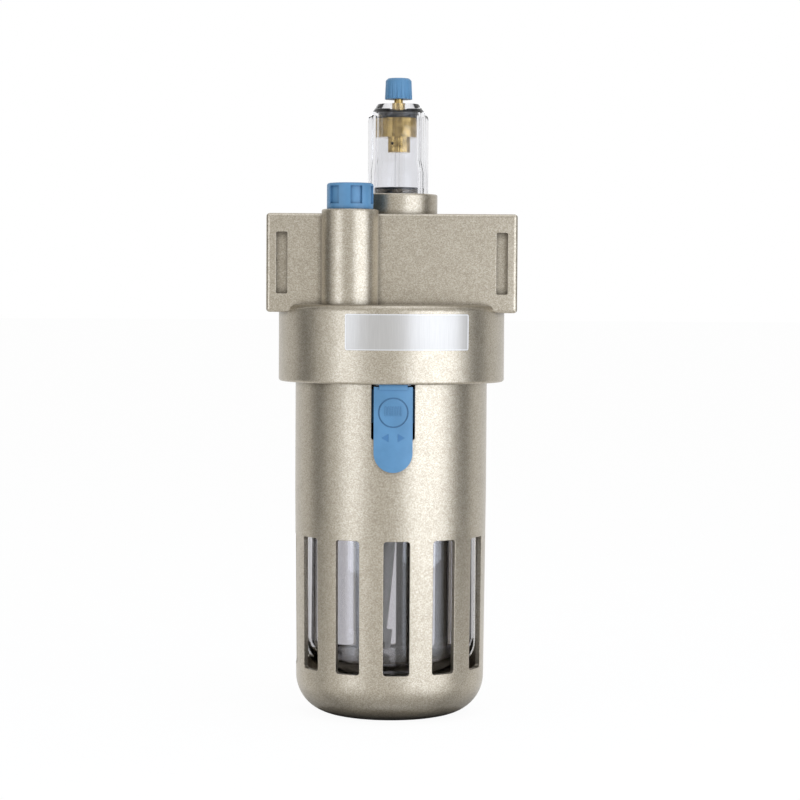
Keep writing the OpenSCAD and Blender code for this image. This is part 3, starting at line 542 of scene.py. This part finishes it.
def makeArrows(radius):
    bm = bmesh.new()
    tall = buttonMarks["arrowTall"] / 2
    for side in (-1, 1):
        points = [
            (side * buttonMarks["arrowNear"], 0, buttonMarks["arrowZ"] - tall),
            (side * buttonMarks["arrowNear"], 0, buttonMarks["arrowZ"] + tall),
            (side * buttonMarks["arrowFar"], 0, buttonMarks["arrowZ"]),
        ]
        face = bm.faces.new([bm.verts.new(p) for p in points])
        bmesh.ops.inset_region(bm, faces=[face], thickness=buttonMarks["arrowRim"])
        face.material_index = 1
    sheet = bmesh.ops.extrude_face_region(bm, geom=bm.faces[:])
    lifted = [v for v in sheet["geom"] if isinstance(v, bmesh.types.BMVert)]
    bmesh.ops.translate(bm, vec=(0, -buttonMarks["arrowProud"], 0), verts=lifted)
    wrapToRadius(bm, radius)
    # the arrows' fill and rim carry painted shade
    finishPiece("buttonArrows", bm, ["engravedRimShade", "engravedShade"], "lock")


# The threads inside the two ports: ridges a little inside the plain bore of the solid
portThread = {
    "pitch": 1.814 * mm,        # 14 threads an inch
    "depth": 0.62 * mm,
    "sunk": 0.15 * mm,          # of the ridge's foot, into the bore's wall
    "footWidth": 0.92,          # share of the pitch that the foot takes up
    "crestWidth": 0.1,          # share of the foot that is left at the crest
    "fromFace": 2.0 * mm,       # plain stretch at the port's mouth
    "length": 13.2 * mm,
    "stepsPerTurn": 64,
}


def makePortThread(name, side):
    portName = "outlet_port" if side > 0 else "inlet_port"
    mount = next(m for m in frame["record"]["mounts"] if m["name"] == portName)
    radius = mount["dims"]["r_mm"] * mm
    centre = Vector(mount["pos_m"])
    low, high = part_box("body_casting")
    portFace = high.x if side > 0 else low.x
    turns = portThread["length"] / portThread["pitch"]
    startX = portFace - side * (portThread["fromFace"] + portThread["length"])
    halfFoot = portThread["pitch"] * portThread["footWidth"] / 2
    halfCrest = halfFoot * portThread["crestWidth"]
    footZ = centre.z + radius + portThread["sunk"]
    crestZ = centre.z + radius - portThread["depth"]
    bm = bmesh.new()
    outline = [Vector((startX + x, 0, z)) for x, z in (
        (-halfFoot, footZ), (-halfCrest, crestZ), (halfCrest, crestZ), (halfFoot, footZ))]
    spinProfile(bm, outline, (startX, 0, centre.z), (side, 0, 0), math.tau * turns,
                int(portThread["stepsPerTurn"] * turns), rise=portThread["length"])
    finishPiece(name, bm, ["castPaint"], "housing")


# The seat inside the sight dome's foot: a turned sleeve with a rubber bead round its rim
domeSeat = {
    "outer": 8.05 * mm,
    "inner": 7.0 * mm,
    "rise": 1.9 * mm,            # above the top of the casting's ring
    "foot": 14.4 * mm,           # below the top of the ring
    "chamfer": 0.3 * mm,
    "bead": 0.36 * mm,
    "beadRise": 0.6,             # of the bead's radius, its middle above the sleeve's rim
    "beadSides": 10,
    "steps": 64,
}


def makeDomeSeat():
    low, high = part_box("sight_dome")
    centreX = (low.x + high.x) / 2
    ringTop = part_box("body_casting")[1].z
    top = ringTop + domeSeat["rise"]
    foot = ringTop - domeSeat["foot"]
    bm = bmesh.new()
    inner, outer, chamfer = domeSeat["inner"], domeSeat["outer"], domeSeat["chamfer"]
    outline = [Vector((centreX + r, 0, z)) for r, z in (
        (inner, foot), (outer, foot), (outer, top - chamfer), (outer - chamfer, top), (inner, top))]
    spinProfile(bm, outline, (centreX, 0, 0), (0, 0, 1), math.tau, domeSeat["steps"])
    finishPiece("domeSeat", bm, ["castPaint"], "housing")
    bm = bmesh.new()
    bead, sides = domeSeat["bead"], domeSeat["beadSides"]
    centre = Vector((centreX + outer - bead, 0, top + domeSeat["beadRise"] * bead))
    outline = [centre + bead * Vector((math.cos(a), 0, math.sin(a)))
               for a in (i * math.tau / sides for i in range(sides))]
    spinProfile(bm, outline, (centreX, 0, 0), (0, 0, 1), math.tau, domeSeat["steps"])
    finishPiece("domeSeatBead", bm, ["rubber"], "housing")


# the lock's spring, copied from the imported coil to ride on the bowl
def makeLockSpring():
    # the lock's spring: its lower end stays where it is and the button's travel shortens it
    bm = bmesh.new()
    bm.from_mesh(frame["nodes"]["lock_spring"].data)
    coil = finishPiece("lockSpringCoil", bm, ["steel"], "bowl")
    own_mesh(coil)
    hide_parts("lock_spring")


makeLabel()
makeDomeSeat()
makeLockSpring()
makeGripRibs(buttonMarks["plateRadius"])
makeArrows(buttonMarks["plateRadius"])
makePortThread("outletThread", 1)
makePortThread("inletThread", -1)
print("pieces made")

# The room: a pale floor in a white surround, a soft light at each side of the camera, a weak one above, and
# two dark cards that stand beside the object as in a product studio, so that the round metal turns darker
# before its edges.
floor = {
    "colour": "#F4F4F4",
    "shade": "#EFEFEF",
    "size": 30.0,
    "gap": 0.0001,               # the part stands this much above it
    "glow": 0.92,                # share of plain white in what the camera and clear plastic see of it
    "strength": 1.03,
    "polish": 0.5,               # share of true reflection in what the metal mirrors of it
    "roughness": 0.15,
    "contactReach": 0.03,        # how near to the object the floor's glow is darkened, a painted contact shadow that the metal mirrors
    "contactFull": 0.5,          # share of open sky at which that floor is darkest
    "contactShadowLight": 0.05,
    "farLight": 1.45,
}
cards = {
    "colour": "#787570",
    "shade": (0.02, 0.02, 0.018, 1),
    "turn": math.radians(92),    # from the camera's side, to the left and to the right
    "distance": 0.42,
    "width": 0.175,
    "foot": 0.001,
    "top": 0.60,
}
ambient = 0.55                   # the white surround's light on dull surfaces
lampColour = (0.83, 0.905, 1.05)
lampAim = (0, 0, 0.12)
lamps = {
    "keyLight": {"place": (0.343, -0.364, 0.12), "size": (0.50, 0.26), "power": 1.25},
    "fillLight": {"place": (-0.350, -0.357, 0.11), "size": (0.22, 0.24), "power": 0.40},
    "topLight": {"place": (0.1, -0.1, 1.0), "size": (0.8, 0.6), "power": 1.7},
}


def directView(tree):
    # 1 for what the camera, a mirror or clear plastic shows, 0 for light that falls on a dull surface
    path = addNode(tree, "ShaderNodeLightPath")
    mirror = addNode(tree, "ShaderNodeMath", links={0: path.outputs["Is Camera Ray"],
                                                    1: path.outputs["Is Glossy Ray"]}, operation="MAXIMUM")
    return addNode(tree, "ShaderNodeMath",
                   links={0: mirror.outputs[0], 1: path.outputs["Is Transmission Ray"]}, operation="MAXIMUM")


def stageMesh(name, bm, material):
    mesh = bpy.data.meshes.new(name)
    bm.to_mesh(mesh)
    bm.free()
    mesh.materials.append(material)
    item = bpy.data.objects.new(name, mesh)
    bpy.context.scene.collection.objects.link(item)
    return item


def makeFloor():
    material, tree, output, place = newMaterial("paleFloor")
    grain = addNode(tree, "ShaderNodeTexNoise", {"Scale": 40.0, "Detail": 2.0}, {"Vector": place})
    tone = addNode(tree, "ShaderNodeValToRGB", links={"Fac": grain.outputs["Fac"]})
    rampColours(tone.color_ramp, [
        (0.3, hexColour(floor["shade"])),
        (0.7, hexColour(floor["colour"])),
    ])
    surface = addNode(tree, "ShaderNodeBsdfDiffuse", links={"Color": tone.outputs["Color"]})
    mirrorRay = addNode(tree, "ShaderNodeLightPath").outputs["Is Glossy Ray"]
    # a painted contact shadow: for mirrored rays the floor's glow is darker near the object and brighter
    # than white away from it
    near = addNode(tree, "ShaderNodeAmbientOcclusion", {"Distance": floor["contactReach"]}, samples=8)
    contact = addNode(tree, "ShaderNodeMapRange",
                      {"From Min": floor["contactFull"], "From Max": 1.0,
                       "To Min": floor["contactShadowLight"], "To Max": floor["farLight"]},
                      {"Value": near.outputs["AO"]})
    strength = addNode(tree, "ShaderNodeMix", {"A": floor["strength"]},
                       {"Factor": mirrorRay, "B": contact.outputs["Result"]})
    glow = addNode(tree, "ShaderNodeEmission", {"Color": (1, 1, 1, 1)},
                   {"Strength": strength.outputs["Result"]})
    seen = addNode(tree, "ShaderNodeMath", {1: floor["glow"]}, {0: directView(tree).outputs[0]},
                   operation="MULTIPLY")
    white = addNode(tree, "ShaderNodeMixShader", links={0: seen.outputs[0], 1: surface.outputs[0],
                                                        2: glow.outputs[0]})
    polish = addNode(tree, "ShaderNodeBsdfGlossy", {"Roughness": floor["roughness"]})
    mirrored = addNode(tree, "ShaderNodeMath", {1: floor["polish"]},
                       {0: mirrorRay}, operation="MULTIPLY")
    mix = addNode(tree, "ShaderNodeMixShader", links={0: mirrored.outputs[0], 1: white.outputs[0],
                                                      2: polish.outputs[0]})
    fromBelow = addNode(tree, "ShaderNodeNewGeometry").outputs["Backfacing"]
    nothing = addNode(tree, "ShaderNodeBsdfTransparent")
    oneSided = addNode(tree, "ShaderNodeMixShader", links={0: fromBelow, 1: mix.outputs[0],
                                                           2: nothing.outputs[0]})
    tree.links.new(oneSided.outputs[0], output.inputs["Surface"])
    bm = bmesh.new()
    bmesh.ops.create_grid(bm, x_segments=1, y_segments=1, size=floor["size"] / 2,
                          matrix=Matrix.Translation((0, 0, -floor["gap"])))
    stageMesh("floor", bm, material)


def makeCards():
    material, tree, output, place = newMaterial("darkCard")
    fibre = addNode(tree, "ShaderNodeTexNoise", {"Scale": 60.0, "Detail": 2.0}, {"Vector": place})
    tone = addNode(tree, "ShaderNodeValToRGB", links={"Fac": fibre.outputs["Fac"]})
    rampColours(tone.color_ramp, [(0.3, cards["shade"]), (0.7, hexColour(cards["colour"]))])
    surface = addNode(tree, "ShaderNodeBsdfDiffuse", links={"Color": tone.outputs["Color"]})
    tree.links.new(surface.outputs[0], output.inputs["Surface"])
    half = cards["width"] / 2
    for side in (-1, 1):
        turn = Matrix.Rotation(side * cards["turn"], 4, "Z")
        bm = bmesh.new()
        corners = [turn @ Vector((x, -cards["distance"], z)) for x, z in (
            (-half, cards["foot"]), (half, cards["foot"]), (half, cards["top"]), (-half, cards["top"]))]
        bm.faces.new([bm.verts.new(c) for c in corners])
        card = stageMesh("darkCardLeft" if side < 0 else "darkCardRight", bm, material)
        card.visible_camera = False             # only the paint and the brass mirror them
        card.visible_transmission = False


def makeSurround():
    world = bpy.data.worlds.new("whiteSurround")
    bpy.context.scene.world = world
    world.use_nodes = True
    tree = world.node_tree
    tree.nodes.clear()
    output = addNode(tree, "ShaderNodeOutputWorld")
    strength = addNode(tree, "ShaderNodeMapRange", {"To Min": ambient, "To Max": 1.0},
                       {"Value": directView(tree).outputs[0]})
    glow = addNode(tree, "ShaderNodeBackground", {"Color": (1, 1, 1, 1)},
                   {"Strength": strength.outputs["Result"]})
    tree.links.new(glow.outputs["Background"], output.inputs["Surface"])


def makeLamp(name, spec):
    data = bpy.data.lights.new(name, "AREA")
    data.shape = "RECTANGLE"
    data.size, data.size_y = spec["size"]
    data.energy = spec["power"]
    data.color = lampColour
    lamp = bpy.data.objects.new(name, data)
    lamp.location = spec["place"]
    lamp.visible_camera = False
    lamp.rotation_euler = (Vector(lampAim) - Vector(spec["place"])).to_track_quat("-Z", "Y").to_euler()
    bpy.context.scene.collection.objects.link(lamp)


# The camera stands where the photograph was taken from, a little above the collar
camera = {
    "distance": 0.871,
    "height": 0.152,
    "pitch": math.radians(2.473),
    "yaw": math.radians(-0.214),
    "roll": math.radians(0.333),
    "lens": 107.034,
    "sensor": 36.0,
}


def makeCamera():
    data = bpy.data.cameras.new("camera")
    data.sensor_width = camera["sensor"]
    data.lens = camera["lens"]
    view = bpy.data.objects.new("camera", data)
    turn = Matrix.Rotation(camera["yaw"], 4, "Z") @ Matrix.Rotation(math.pi / 2 - camera["pitch"], 4, "X")
    turn = turn @ Matrix.Rotation(camera["roll"], 4, "Z")
    view.matrix_world = Matrix.Translation((0, -camera["distance"], camera["height"])) @ turn
    bpy.context.scene.collection.objects.link(view)
    bpy.context.scene.camera = view


makeFloor()
makeCards()
makeSurround()
for lampName, lampSpec in lamps.items():
    makeLamp(lampName, lampSpec)
makeCamera()
bpy.context.scene.view_settings.view_transform = "Standard"
print("studio set")
